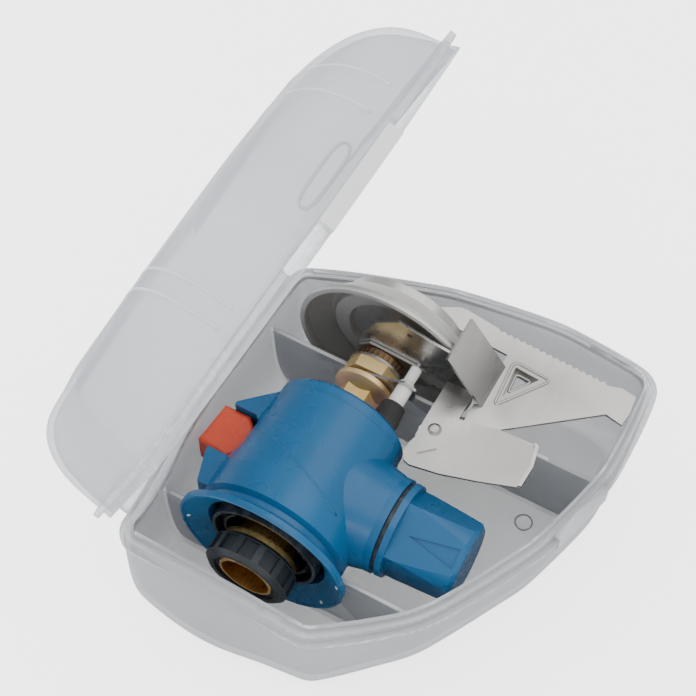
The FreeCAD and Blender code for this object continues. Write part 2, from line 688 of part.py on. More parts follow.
def make_low_nut():
    body = on_axis("lower_flange_nut")
    flats = padded(body, "XZ_Plane", "nut_flange_y * -1", "nut_flange_y - nut_low_y", hexagon("nut_low_af"))
    turned(body, [("nut_bore_r", "nut_flange_y - 1"), ("nut_low_af / 2", "nut_flange_y - 1"),
                  ("nut_flange_r", "nut_flange_y + 2.4"), ("nut_flange_r", "nut_low_end_y - 0.6"),
                  ("nut_flange_r - 0.8", "nut_low_end_y"), ("nut_bore_r", "nut_low_end_y")])
    padded(body, "XZ_Plane", "nut_low_end_y * -1 - 1", "30", circles=[("0", "0", "nut_bore_r")],
           kind="PartDesign::Pocket").Reversed = True
    doc.recompute()
    return body


def make_hex_ring(label, start, end, flats, bore):
    body = on_axis(label)
    padded(body, "XZ_Plane", end + " * -1", end + " - " + start, hexagon(flats), [("0", "0", bore)])
    return body


def make_washer(label, start, end, outer, bore):
    body = on_axis(label)
    turned(body, [(bore, start), (outer, start), (outer, end), (bore, end)])
    return body


def make_collar():
    body = on_axis("knurled_collar")
    turned(body, [("tube_r + 0.06", "collar_y"), ("collar_r - 0.6", "collar_y"), ("collar_r", "collar_y + 0.6"),
                  ("collar_r", "collar_end_y - 0.6"), ("collar_r - 0.6", "collar_end_y"),
                  ("tube_r + 0.06", "collar_end_y")])
    nick = [("collar_r - 0.5", "collar_y - 1"), ("collar_r + 1", "collar_y - 1"),
            ("collar_r + 1", "collar_end_y + 1"), ("collar_r - 0.5", "collar_end_y + 1")]
    cut = padded(body, "XY_Plane", "0", "knurl_nick", nick, kind="PartDesign::Pocket", both=True)
    around(body, cut, "Y_Axis", 28)
    return body


def make_dish():
    body = on_axis("burner_dish")
    out = [("dish_r", "dish_y"), ("dish_r", "dish_y + 1.4"), ("dish_side_r", "dish_y + 2.2"),
           ("dish_side_r", "dish_y + 3.4"), ("dish_corner_r", "dish_back_y"),
           ("dish_step_r", "dish_back_y"), ("dish_step_r - 1.5", "dish_step_y + sheet"),
           ("dish_flat_r", "dish_step_y + sheet"), ("dish_flat_r - 1", "dish_back_y"),
           ("dish_hole_r", "dish_back_y")]
    back = [("dish_hole_r", "dish_back_y - sheet"), ("dish_flat_r - 1.4", "dish_back_y - sheet"),
            ("dish_flat_r - 0.4", "dish_step_y"), ("dish_step_r - 1.1", "dish_step_y"),
            ("dish_step_r + 0.4", "dish_back_y - sheet"), ("dish_corner_r - 0.4", "dish_back_y - sheet"),
            ("dish_side_r - sheet", "dish_y + 3"), ("dish_side_r - sheet", "dish_y")]
    turned(body, out + back)
    return body


def make_head():
    body = on_axis("burner_head")
    turned(body, [("tube_r + 0.06", "head_y"), ("head_r", "head_y"), ("head_r", "head_end_y - 1"),
                  ("head_top_r", "head_end_y"), ("0", "head_end_y"), ("0", "head_end_y - head_wall"),
                  ("head_top_r - 1", "head_end_y - head_wall"), ("head_r - head_wall", "head_end_y - 2"),
                  ("head_r - head_wall", "head_y + 1"), ("tube_r + 0.06", "head_y + 1")])
    ports = padded(body, "XZ_Plane", "head_end_y * -1 - 1", "head_wall + 2",
                   circles=[("head_top_r - 4", "0", "port_r")], kind="PartDesign::Pocket")
    around(body, ports, "Y_Axis", 24)
    return body


# -------------------------------------------------------- pan supports

# Edge of the serrated arm seen from above, measured from the stove axis.
ARM_BEFORE_TEETH = ((8.7, 136.9), (13, 134), (42, 132), (42, 107.6), (40.4, 106.9), (40.4, 98.6),
                    (53.2, 101.5), (56.5, 104), (85, 126.6), (91.9, 125.2), (92.6, 131), (91.9, 138.6),
                    (86, 139.6))
ARM_AFTER_TEETH = ((20.2, 142.8), (17, 142.6), (10.5, 139.2))
TEETH = 17
TOOTH = 2.8
TEETH_START = (81.6, 139.1)
TEETH_RISE = 0.12
TOOTH_DEEP = 1.1


def arm_outline():
    """Corners of the serrated arm, with its teeth."""
    corners = list(ARM_BEFORE_TEETH)
    for i in range(TEETH):
        x = TEETH_START[0] - TOOTH * (i + 0.5)
        y = TEETH_START[1] + TEETH_RISE * i
        corners.append((x, y - TOOTH_DEEP))
        corners.append((x - 0.5 * TOOTH, y))
    corners = corners + list(ARM_AFTER_TEETH)
    return [(str(x), "%.2f" % y) for x, y in corners]


def make_upper_arm():
    body = on_axis("pan_arm_upper")
    hub = [("-11", "3"), ("-9", "-6"), ("-4", "-10"), ("5", "-10"), ("10", "-4"), ("14", "8"), ("33.9", "18.8"),
           ("29.0", "25.9"), ("20", "27.5"), ("6", "31"), ("-3", "24"), ("-9", "12")]
    padded(body, "XZ_Plane", "upper_hub_y * -1 - hub_thick", "hub_thick", hub,
           [("0", "0", "hub_bore_r"), ("11", "25.4", "1.3")])
    strip = [("43.0", "5.6"), ("44.0", "6.3"), ("28.3", "28.3"), ("27.3", "27.6")]
    padded(body, "XZ_Plane", "strip_end_y * -1", "strip_end_y - strip_y", strip)
    pan = [("46.2", "129.8"), ("59.6", "128.8"), ("47.4", "111.5")]
    pan_inside = [("47.2", "128.7"), ("57.2", "127.9"), ("48.1", "114.8")]
    window = [("48.6", "127"), ("53.6", "126.6"), ("49.3", "120")]
    padded(body, "XY_Plane", "arm_z - axis_z", "arm_thick", arm_outline(), inside=pan_inside)
    padded(body, "XY_Plane", "arm_z - axis_z - pan_deep", "pan_deep + arm_thick", pan, inside=pan_inside)
    padded(body, "XY_Plane", "arm_z - axis_z - pan_deep", "hub_thick", pan, inside=window)
    return body


def make_lower_bracket():
    body = on_axis("lower_arm_bracket")
    hub = [("-10", "-5"), ("-5", "-10"), ("6", "-10"), ("12", "-4"), ("38.5", "5.9"), ("38.5", "6.9"),
           ("27.5", "6.9"), ("8", "9"), ("-5", "10"), ("-10", "5")]
    padded(body, "XZ_Plane", "lower_hub_y * -1 - hub_thick", "hub_thick", hub, [("0", "0", "hub_bore_r")])
    shelf = [("27.5", "pivot_y - 5"), ("38.5", "pivot_y - 5"), ("38.5", "lower_hub_y + hub_thick"),
             ("27.5", "lower_hub_y + hub_thick")]
    padded(body, "XY_Plane", "low_arm_z - axis_z - hub_thick - 0.05", "hub_thick", shelf,
           [("pivot_x", "pivot_y", "rivet_r + 0.05")])
    return body


def make_lower_arm():
    body = on_axis("pan_arm_lower")
    edge = [("27", "76"), ("29", "73"), ("31.5", "72.3"), ("42.6", "74.2"), ("56.5", "78.3"), ("70.9", "83.4"),
            ("71.3", "92.4"), ("69.7", "100.7"), ("68.9", "101.6"), ("53.2", "100.9"), ("38.7", "97.6"),
            ("33.4", "96.1"), ("29.8", "93.6"), ("28.6", "90.6"), ("27.4", "88"), ("28.3", "84"), ("27.3", "80.4")]
    padded(body, "XY_Plane", "low_arm_z - axis_z", "arm_thick", edge, [("pivot_x", "pivot_y", "rivet_r + 0.05")])
    fold = [("31.8", "77.6"), ("37.4", "82.6"), ("35.4", "84.2")]
    padded(body, "XY_Plane", "low_arm_z - axis_z + arm_thick", "0.9", fold)
    lip = [("67.4", "101.5"), ("68.9", "101.6"), ("69.7", "100.7"), ("71.3", "92.4"), ("70.9", "83.4"),
           ("69.5", "83"), ("69.9", "92.3"), ("68.4", "100")]
    padded(body, "XY_Plane", "low_arm_z - axis_z + arm_thick", "1.2", lip)
    return body


def make_rivet():
    body = new_body("arm_rivet")
    place(body, "axis_x + pivot_x", "pivot_y", "low_arm_z")
    low = "hub_thick * -1 - 0.1"
    turned(body, [("0", low + " - rivet_head"), ("rivet_head_r", low + " - rivet_head"), ("rivet_head_r", low),
                  ("rivet_r", low), ("rivet_r", "arm_thick + 0.05"), ("rivet_head_r", "arm_thick + 0.05"),
                  ("rivet_head_r - 1", "arm_thick + 0.05 + rivet_head"), ("0", "arm_thick + 0.05 + rivet_head")],
           role="XZ_Plane")
    return body


# ----------------------------------------------------------- electrode

def electrode_body(label, outline):
    body = new_body(label)
    place(body, "boot_x", "0", "boot_z")
    turned(body, outline)
    return body


def make_electrode():
    electrode_body("electrode_boot", [
        ("rod_r + 0.05", "boot_y"), ("boot_r", "boot_y"), ("boot_r", "boot_y + 3"),
        ("boot_r - 0.6", "boot_end_y"), ("rod_r + 0.05", "boot_end_y")])
    electrode_body("electrode_ceramic", [
        ("rod_tip_r + 0.05", "boot_y + 1"), ("rod_r", "boot_y + 1"), ("rod_r", "rod_neck_y"),
        ("rod_r - 0.9", "rod_neck_y + 1.2"), ("rod_r - 0.9", "rod_end_y"), ("rod_tip_r + 0.05", "rod_end_y")])
    electrode_body("electrode_wire", [
        ("0", "boot_y + 2"), ("rod_tip_r", "boot_y + 2"), ("rod_tip_r", "rod_tip_end_y - 0.5"),
        ("0", "rod_tip_end_y")])
    ear = [("-9.2", "-2"), ("-6.5", "-6.5"), ("0", "-9.2"), ("6.5", "-6.5"), ("10", "-2"), ("20.5", "6.5"),
           ("20.5", "13"), ("16", "15.6"), ("9", "12"), ("0", "9.2"), ("-6.5", "6.5"), ("-9.2", "2")]
    holes = [("0", "0", "hub_bore_r"), ("boot_x - axis_x", "boot_z - axis_z", "rod_r + 0.15")]
    body = on_axis("electrode_clip")
    padded(body, "XZ_Plane", "clip_y * -1 - clip_thick", "clip_thick", ear, holes)
    return body


def make_trims():
    """Small rings and the screen under the burner ports."""
    body = across("knob_seal")
    turned(body, [("boss_end_x + 0.15", "knob_sleeve_r + 0.1"), ("boss_end_x + 0.15", "boss_r - 1.6"),
                  ("knob_x - 0.15", "boss_r - 1.6"), ("knob_x - 0.15", "knob_sleeve_r + 0.1")], axis="H_Axis")
    make_washer("burner_screen", "screen_y", "screen_y + 0.6", "screen_r", "0.8")


make_tray()
make_lid()
make_web()
make_housing()
make_cap()
make_knob()
make_spindle()
make_gland()
make_ring_seal("spindle_seal", "gland_bore_r + 1", "gland_seal_x", "knob_y", "axis_z", Rotation(Y_AXIS, 90))
make_button()
make_igniter()
make_carrier()
make_lock_ring()
make_insert()
make_ring_seal("inlet_seal", "inlet_seal_r", "axis_x", "inlet_seal_y", "axis_z", Rotation(X_AXIS, 90))
make_pin()
make_valve()
make_low_nut()
make_hex_ring("upper_hex_nut", "nut_top_y", "nut_top_end_y", "nut_top_af", "tube_r + 0.06")
make_washer("neck_washer", "nut_top_end_y + 0.05", "nut_top_end_y + washer_thick", "washer_r", "tube_r + 0.06")
make_collar()
make_washer("burner_tube", "nut_low_end_y + 0.1", "tube_end_y", "tube_r", "tube_r - tube_wall")
make_hex_ring("gas_jet", "jet_start_y", "jet_end_y", "jet_af", "jet_bore_r")
make_dish()
make_head()
make_upper_arm()
make_lower_bracket()
make_lower_arm()
make_rivet()
make_electrode()
make_trims()


def gather():
    """Put every piece in one assembly whose origin is the middle of the case's base."""
    whole = doc.addObject("App::Part", "camping_stove")
    for part in parts:
        whole.addObject(part)
    place(whole, "0 - base_x", "0 - base_y", "0")
    return whole


def check_and_write(whole):
    doc.recompute()
    os.makedirs("parts", exist_ok=True)
    for obj in doc.Objects:
        if "Invalid" in obj.State or "Error" in obj.State:
            raise RuntimeError("broken object " + obj.Label + " " + str(obj.State))
    for part in parts:
        shape = part.Shape
        if shape.isNull() or not shape.isValid():
            raise RuntimeError("bad shape " + part.Label)
        if len(shape.Solids) != 1:
            raise RuntimeError("%s has %d solids" % (part.Label, len(shape.Solids)))
        shape = shape.copy()
        shape.Placement = whole.Placement.multiply(shape.Placement)
        shape.exportStep("parts/" + part.Label + ".step")
        size = shape.BoundBox
        print("%-22s %9.1f mm3  x %.1f..%.1f y %.1f..%.1f z %.1f..%.1f" % (
            part.Label, shape.Volume, size.XMin, size.XMax, size.YMin, size.YMax, size.ZMin, size.ZMax))


check_and_write(gather())
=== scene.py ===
import json
import math

import bmesh
import bpy
from mathutils import Matrix, Vector
from mathutils.bvhtree import BVHTree


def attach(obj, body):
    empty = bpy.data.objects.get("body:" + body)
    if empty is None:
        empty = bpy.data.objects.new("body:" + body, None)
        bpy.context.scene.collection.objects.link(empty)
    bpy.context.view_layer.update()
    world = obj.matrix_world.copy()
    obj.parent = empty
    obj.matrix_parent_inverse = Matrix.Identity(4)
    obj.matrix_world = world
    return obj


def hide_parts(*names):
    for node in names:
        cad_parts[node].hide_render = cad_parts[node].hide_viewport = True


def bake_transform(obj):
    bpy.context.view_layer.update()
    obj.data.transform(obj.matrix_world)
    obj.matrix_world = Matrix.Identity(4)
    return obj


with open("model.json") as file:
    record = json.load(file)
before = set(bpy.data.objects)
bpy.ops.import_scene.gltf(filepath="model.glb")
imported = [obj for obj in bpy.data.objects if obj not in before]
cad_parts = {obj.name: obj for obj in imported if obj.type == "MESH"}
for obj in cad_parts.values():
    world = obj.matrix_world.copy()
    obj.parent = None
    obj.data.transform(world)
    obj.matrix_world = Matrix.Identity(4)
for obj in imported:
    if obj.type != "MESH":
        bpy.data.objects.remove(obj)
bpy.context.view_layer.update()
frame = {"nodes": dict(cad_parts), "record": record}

MM = 0.001
UP = Vector((0, 0, 1))
DOWN = Vector((0, 0, -1))
SQUARE = ((-1, -1), (1, -1), (1, 1), (-1, 1))
NODES = frame["nodes"]


# -------------------------------------------------------- camera and light

CAMERA_AZIMUTH = 29.0
CAMERA_ELEVATION = 58.5
CAMERA_DISTANCE = 0.60
CAMERA_TARGET = Vector((-0.031, 0.029, 0.054))
CAMERA_FOCAL = 82.2
SENSOR_WIDTH = 36.0
NEAREST_SEEN = 0.01
FARTHEST_SEEN = 20.0

SKY_COLOUR = (0.97, 0.98, 1.0, 1)
SKY_STRENGTH = 0.85

# Each row is a light's name, place, the point it faces, its width and height, and its power.
SOFTBOXES = (
    ("top_softbox", (0.05, 0.25, 1.2), (-0.01, 0.0, 0.03), (1.8, 1.8), 13.0),
    ("left_softbox", (-0.9, -0.35, 0.7), (-0.02, 0.0, 0.04), (0.35, 0.9), 4.5),
    ("front_softbox", (0.55, -0.9, 0.6), (-0.01, 0.0, 0.04), (0.6, 0.35), 3.0),
)


def add_to_scene(obj):
    bpy.context.scene.collection.objects.link(obj)


def add_camera():
    data = bpy.data.cameras.new("studio_camera")
    data.lens = CAMERA_FOCAL
    data.sensor_width = SENSOR_WIDTH
    data.clip_start = NEAREST_SEEN
    data.clip_end = FARTHEST_SEEN
    camera = bpy.data.objects.new("studio_camera", data)
    add_to_scene(camera)
    azimuth = math.radians(CAMERA_AZIMUTH)
    elevation = math.radians(CAMERA_ELEVATION)
    back = Vector((math.sin(azimuth) * math.cos(elevation),
                   -math.cos(azimuth) * math.cos(elevation), math.sin(elevation)))
    camera.location = CAMERA_TARGET + back * CAMERA_DISTANCE
    camera.rotation_euler = (-back).to_track_quat("-Z", "Y").to_euler()
    bpy.context.scene.camera = camera


def add_world():
    world = bpy.data.worlds.new("studio_world")
    world.use_nodes = True
    background = world.node_tree.nodes["Background"]
    background.inputs["Color"].default_value = SKY_COLOUR
    background.inputs["Strength"].default_value = SKY_STRENGTH
    bpy.context.scene.world = world


def add_softbox(name, place, aim, size, power):
    data = bpy.data.lights.new(name, "AREA")
    data.shape = "RECTANGLE"
    data.size = size[0]
    data.size_y = size[1]
    data.energy = power
    light = bpy.data.objects.new(name, data)
    add_to_scene(light)
    light.location = place
    direction = Vector(aim) - Vector(place)
    light.rotation_euler = direction.to_track_quat("-Z", "Y").to_euler()


# ------------------------------------------------------------ shader tools

# Places of the colour sockets on a Mix node, whose names are shared with its other sockets.
MIX_FIRST_COLOUR = 6
MIX_SECOND_COLOUR = 7
MIX_RESULT_COLOUR = 2


class Shader:
    """One node material built step by step round a principled shader."""

    def __init__(self, name):
        self.material = bpy.data.materials.new(name)
        self.material.use_nodes = True
        self.tree = self.material.node_tree
        self.main = self.tree.nodes["Principled BSDF"]
        self.place = self.add("ShaderNodeTexCoord").outputs["Object"]

    def add(self, kind, **values):
        node = self.tree.nodes.new(kind)
        for key, value in values.items():
            setattr(node, key, value)
        return node

    def wire(self, source, target):
        self.tree.links.new(source, target)

    def noise(self, scale, detail=4.0, rough=0.5, stretch=None):
        node = self.add("ShaderNodeTexNoise")
        node.inputs["Scale"].default_value = scale
        node.inputs["Detail"].default_value = detail
        node.inputs["Roughness"].default_value = rough
        place = self.place
        if stretch:
            mapping = self.add("ShaderNodeMapping")
            mapping.inputs["Scale"].default_value = stretch
            self.wire(place, mapping.inputs["Vector"])
            place = mapping.outputs["Vector"]
        self.wire(place, node.inputs["Vector"])
        return node.outputs["Fac"]

    def ramp(self, source, stops):
        """Turn a factor into greys or colours; each stop is (position, grey or colour)."""
        node = self.add("ShaderNodeValToRGB")
        ramp = node.color_ramp
        while len(ramp.elements) < len(stops):
            ramp.elements.new(0.5)
        for element, (spot, value) in zip(ramp.elements, stops):
            element.position = spot
            shade = value if isinstance(value, tuple) else (value, value, value)
            element.color = (shade[0], shade[1], shade[2], 1)
        self.wire(source, node.inputs["Fac"])
        return node.outputs["Color"]

    def mix(self, factor, first, second, mode="MIX"):
        """Mix two colours; each argument is a number, a colour or another node's output."""
        node = self.add("ShaderNodeMix", data_type="RGBA", blend_type=mode)
        sockets = (node.inputs["Factor"], node.inputs[MIX_FIRST_COLOUR], node.inputs[MIX_SECOND_COLOUR])
        for socket, value in zip(sockets, (factor, first, second)):
            if isinstance(value, (int, float)):
                socket.default_value = value
            elif isinstance(value, tuple):
                socket.default_value = (value[0], value[1], value[2], 1)
            else:
                self.wire(value, socket)
        return node.outputs[MIX_RESULT_COLOUR]

    def bump(self, height, strength, distance, normal=None):
        node = self.add("ShaderNodeBump")
        node.inputs["Strength"].default_value = strength
        node.inputs["Distance"].default_value = distance
        self.wire(height, node.inputs["Height"])
        if normal is not None:
            self.wire(normal, node.inputs["Normal"])
        return node.outputs["Normal"]

    def edges(self, low, high):
        """Bright where the surface turns sharply outward."""
        geometry = self.add("ShaderNodeNewGeometry")
        return self.ramp(geometry.outputs["Pointiness"], ((low, 0.0), (high, 1.0)))

    def set(self, **values):
        """Set or wire the principled shader's sockets, named with _ for each space."""
        for key, value in values.items():
            socket = self.main.inputs[key.replace("_", " ")]
            if isinstance(value, (int, float, tuple)):
                socket.default_value = value
            else:
                self.wire(value, socket)


# --------------------------------------------------------------- materials

ALONG_Y = (1.0, 0.3, 1.0)


def moulded(name, base, lighter, rough=0.42, grain=1400.0, grain_depth=0.00004, wear=0.35):
    """Opaque moulded plastic, rubber or ceramic with a fine grain and paler worn edges."""
    shader = Shader(name)
    tone = shader.ramp(shader.noise(scale=28.0, detail=5.0), ((0.35, base), (0.7, lighter)))
    worn = tuple(min(1.0, c * 1.5 + 0.05) for c in lighter)
    spots = shader.ramp(shader.noise(scale=260.0), ((0.45, 0.0), (0.62, wear)))
    chips = shader.mix(1.0, shader.edges(0.55, 0.66), spots, "MULTIPLY")
    handled = shader.ramp(shader.noise(scale=90.0, detail=6.0), ((0.3, rough - 0.07), (0.75, rough + 0.09)))
    fine = shader.bump(shader.noise(grain, detail=2.0), strength=0.35, distance=grain_depth)
    waves = shader.bump(shader.noise(scale=60.0, detail=2.0), strength=0.12, distance=0.0002, normal=fine)
    shader.set(Base_Color=shader.mix(chips, tone, worn), Roughness=handled, Normal=waves, IOR=1.5)
    return shader.material


def frosted(name, base, lighter, clear, solid, rough=0.34):
    """Milky see-through polypropylene, denser where it is seen edge on, with flow lines and scuffs."""
    shader = Shader(name)
    scuff_colour = (0.86, 0.88, 0.90)
    edge_colour = (0.95, 0.96, 0.97)
    edge_density = (0.97, 0.97, 0.97)
    tone = shader.ramp(shader.noise(scale=16.0), ((0.3, base), (0.72, lighter)))
    scratches = shader.noise(scale=210.0, detail=6.0, rough=0.7, stretch=(1.0, 0.18, 1.0))
    scuff = shader.ramp(scratches, ((0.62, 0.0), (0.74, 0.3)))
    edge = shader.edges(0.52, 0.6)
    shader.set(Base_Color=shader.mix(edge, shader.mix(scuff, tone, scuff_colour), edge_colour))
    shader.set(Roughness=shader.ramp(shader.noise(scale=70.0, detail=5.0),
                                     ((0.3, rough - 0.06), (0.75, rough + 0.1))))
    facing = shader.add("ShaderNodeLayerWeight")
    facing.inputs["Blend"].default_value = 0.4
    density = shader.ramp(facing.outputs["Facing"], ((0.0, clear), (0.55, clear + 0.12), (1.0, solid)))
    shader.set(Alpha=shader.mix(edge, density, edge_density))
    fine = shader.bump(shader.noise(scale=900.0, detail=2.0), strength=0.25, distance=0.00004)
    flow = shader.noise(scale=34.0, detail=2.0, stretch=(1.0, 0.35, 1.0))
    shader.set(Normal=shader.bump(flow, strength=0.2, distance=0.0006, normal=fine))
    shader.set(IOR=1.49)
    shader.set(Subsurface_Weight=0.2, Subsurface_Radius=(0.004, 0.0045, 0.005), Subsurface_Scale=1.0)
    return shader.material


def metal(name, base, lighter, rough=0.3, stretch=(1.0, 1.0, 1.0), stains=None, metallic=1.0):
    """Brushed or plated metal with faint clouds, brighter edges and, if asked for, stained patches."""
    shader = Shader(name)
    tone = shader.ramp(shader.noise(scale=30.0, detail=3.0), ((0.3, base), (0.7, lighter)))
    if stains:
        patches = shader.ramp(shader.noise(scale=75.0, detail=2.0), ((0.42, 0.0), (0.62, 0.8)))
        tone = shader.mix(patches, tone, stains)
    bright = tuple(min(1.0, c * 1.25 + 0.04) for c in lighter)
    brushed = shader.noise(scale=420.0, detail=3.0, rough=0.6, stretch=stretch)
    shader.set(Base_Color=shader.mix(shader.edges(0.51, 0.6), tone, bright), Metallic=metallic)
    shader.set(Roughness=shader.ramp(brushed, ((0.3, max(0.05, rough - 0.04)), (0.75, rough + 0.06))))
    shader.set(Normal=shader.bump(brushed, strength=0.08, distance=0.00003))
    return shader.material


# Each row is a material's maker, its darker and lighter colour, and the values that differ from the
# maker's usual ones.
FINISHES = {
    # The tray's plastic: its darker grey and greater density stand for the double wall and partly paint the
    # shade that falls inside the tray.
    "frosted_pp": (frosted, (0.50, 0.515, 0.535), (0.58, 0.595, 0.62), {"clear": 0.6, "solid": 0.92}),
    # A lighter and clearer copy of the case plastic for the lid, set against the tray's grey, which partly
    # paints shade.
    "clear_pp": (frosted, (0.60, 0.635, 0.69), (0.70, 0.73, 0.78), {"clear": 0.4, "solid": 0.9}),
    # Near-white, nearly opaque copy of the case plastic for thin lines; its paleness is a painted highlight.
    "pale_pp": (frosted, (0.86, 0.87, 0.88), (0.92, 0.93, 0.94), {"clear": 0.85, "solid": 1.0}),
    "blue_plastic": (moulded, (0.0, 0.094, 0.235), (0.0, 0.118, 0.285), {"rough": 0.3, "wear": 0.12}),
    "black_plastic": (moulded, (0.010, 0.014, 0.018), (0.022, 0.028, 0.034), {"rough": 0.4, "wear": 0.8}),
    "red_plastic": (moulded, (0.62, 0.05, 0.014), (0.74, 0.08, 0.025), {"rough": 0.28}),
    "brass": (metal, (0.66, 0.38, 0.10), (0.74, 0.46, 0.14), {}),
    "rubber": (moulded, (0.018, 0.016, 0.015), (0.03, 0.027, 0.025),
               {"rough": 0.7, "grain": 900.0, "grain_depth": 0.00008}),
    "steel": (metal, (0.33, 0.32, 0.30), (0.39, 0.38, 0.36), {"stretch": ALONG_Y}),
    # A rougher, half-diffuse and paler copy of the steel for the dish; its paler colour paints the light the
    # dish reflects.
    "dish_steel": (metal, (0.42, 0.41, 0.385), (0.50, 0.49, 0.465), {"rough": 0.42, "metallic": 0.55}),
    "zinc_alloy": (metal, (0.42, 0.42, 0.42), (0.52, 0.52, 0.52), {"rough": 0.45}),
    "yellow_zinc": (metal, (0.74, 0.47, 0.13), (0.80, 0.56, 0.24),
                    {"rough": 0.38, "stains": (0.76, 0.42, 0.34), "metallic": 0.75}),
    "dark_brass": (metal, (0.10, 0.055, 0.025), (0.20, 0.12, 0.06), {"rough": 0.42}),
    "ceramic": (moulded, (0.82, 0.81, 0.78), (0.90, 0.89, 0.87),
                {"rough": 0.22, "grain": 500.0, "grain_depth": 0.00002, "wear": 0.1}),
}

# Nodes whose look differs from the other nodes in their material slot: the lid is lighter and clearer than
# the tray, whose grey partly paints shade, and the dish is a paler steel that paints reflected light.
SPECIAL_FINISH = {"case_lid": "clear_pp", "burner_dish": "dish_steel"}


def dress_cad():
    """Give every CAD node the material of its slot, or its own special finish."""
    slots = {s["node"]: s["material_slot"] for s in frame["record"]["subparts"]}
    for name, obj in NODES.items():
        obj.data.materials.clear()
        obj.data.materials.append(materials[SPECIAL_FINISH.get(name, slots[name])])


# ------------------------------------------------------------------- stage

FLOOR_REACH = 3.0
FLOOR_HEIGHT = -0.0002
FLOOR_GLOW = 2.6


def add_floor():
    """Pale paper floor that glows a little where the camera sees it directly."""
    mesh = bpy.data.meshes.new("floor")
    corners = [(x * FLOOR_REACH, y * FLOOR_REACH, FLOOR_HEIGHT) for x, y in SQUARE]
    mesh.from_pydata(corners, [], [(0, 1, 2, 3)])
    floor = bpy.data.objects.new("floor", mesh)
    add_to_scene(floor)
    shader = Shader("floor_paper")
    tone = shader.ramp(shader.noise(scale=3.0, detail=2.0), ((0.3, 0.93), (0.8, 0.96)))
    seen = shader.add("ShaderNodeLightPath").outputs["Is Camera Ray"]
    glow = shader.add("ShaderNodeMath", operation="MULTIPLY")
    glow.inputs[1].default_value = FLOOR_GLOW
    shader.wire(seen, glow.inputs[0])
    shader.set(Base_Color=tone, Emission_Color=tone, Emission_Strength=glow.outputs[0], Roughness=0.85)
    mesh.materials.append(shader.material)


# -------------------------------------------------------------- mesh tools

def add_piece(name, points, faces, material, body, smooth=True):
    """Make a closed mesh piece; it rides on a body unless the body is None."""
    mesh = bpy.data.meshes.new(name)
    mesh.from_pydata([tuple(p) for p in points], [], faces)
    mesh.validate()
    work = bmesh.new()
    work.from_mesh(mesh)
    bmesh.ops.recalc_face_normals(work, faces=work.faces)
    work.to_mesh(mesh)
    work.free()
    for polygon in mesh.polygons:
        polygon.use_smooth = smooth
    mesh.materials.append(material)
    obj = bpy.data.objects.new(name, mesh)
    add_to_scene(obj)
    if body:
        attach(obj, body)
    return obj


def swept(path, normals, outline, closed=False, taper=None):
    """Points and faces of an outline carried along a path; outline rows are (across, up)."""
    points = []
    faces = []
    count = len(path)
    sides = len(outline)
    for i in range(count):
        ahead = path[(i + 1) % count] if closed or i < count - 1 else path[i]
        behind = path[i - 1] if closed or i > 0 else path[i]
        along = (ahead - behind).normalized()
        up = (normals[i] - along * normals[i].dot(along)).normalized()
        across = along.cross(up)
        scale = taper[i] if taper else 1.0
        for x, y in outline:
            points.append(path[i] + across * (x * scale) + up * (y * scale))
    rings = count if closed else count - 1
    for i in range(rings):
        for j in range(sides):
            a = i * sides + j
            b = i * sides + (j + 1) % sides
            c = ((i + 1) % count) * sides + (j + 1) % sides
            d = ((i + 1) % count) * sides + j
            faces.append((a, b, c, d))
    if not closed:
        faces.append(tuple(range(sides - 1, -1, -1)))
        faces.append(tuple(range((count - 1) * sides, count * sides)))
    return points, faces


def merged(groups):
    """Join several pairs of points and faces into one pair."""
    points = []
    faces = []
    for more_points, more_faces in groups:
        base = len(points)
        points += more_points
        faces += [tuple(i + base for i in face) for face in more_faces]
    return points, faces


def half_round(wide, high, sunk=0.00015, steps=7):
    """Outline of a low rounded ridge whose foot is sunk below the surface."""
    rows = []
    for k in range(steps):
        angle = math.pi * k / (steps - 1)
        rows.append((wide / 2 * math.cos(angle), high * math.sin(angle)))
    return rows + [(-wide / 2, -sunk), (wide / 2, -sunk)]


def eased_block(long, deep, high, ease):
    """Points and faces of a block about the origin, with eased upper edges."""
    points = []
    for half_x, half_y, z in ((long / 2, deep / 2, -high / 2), (long / 2, deep / 2, high / 2 - ease),
                              (long / 2 - ease, deep / 2 - ease, high / 2)):
        points += [Vector((x * half_x, y * half_y, z)) for x, y in SQUARE]
    faces = [(3, 2, 1, 0), (8, 9, 10, 11)]
    for low in (0, 4):
        for k in range(4):
            faces.append((low + k, low + (k + 1) % 4, low + 4 + (k + 1) % 4, low + 4 + k))
    return points, faces


def dome(middle, normal, radius, high, sides=20, rings=4, sunk=0.0001):
    """Points and faces of a low dome whose foot is sunk a little below the surface."""
    side = normal.orthogonal().normalized()
    other = normal.cross(side)
    points = []
    faces = []
    for k in range(rings):
        share = k / rings
        reach = radius * math.cos(share * math.pi / 2)
        lift = high * math.sin(share * math.pi / 2) - sunk * (k == 0)
        for angle in round_angles(sides):
            out = side * (reach * math.cos(angle)) + other * (reach * math.sin(angle))
            points.append(middle + out + normal * lift)
    points.append(middle + normal * high)
    for k in range(rings - 1):
        for i in range(sides):
            a = k * sides + i
            b = k * sides + (i + 1) % sides
            faces.append((a, b, b + sides, a + sides))
    top = len(points) - 1
    last_ring = (rings - 1) * sides
    for i in range(sides):
        faces.append((last_ring + i, last_ring + (i + 1) % sides, top))
    faces.append(tuple(range(sides - 1, -1, -1)))
    return points, faces


def eased_loop(corners, ease, height, steps=6):
    """Closed path through rounded corners at one height, in millimetres."""
    path = []
    for k in range(len(corners)):
        here = Vector(corners[k])
        back = (Vector(corners[k - 1]) - here).normalized() * ease
        ahead = (Vector(corners[(k + 1) % len(corners)]) - here).normalized() * ease
        for i in range(steps + 1):
            t = i / steps
            spot = (here + back) * (1 - t) ** 2 + here * 2 * t * (1 - t) + (here + ahead) * t ** 2
            path.append(Vector((spot.x, spot.y, height)) * MM)
    return path


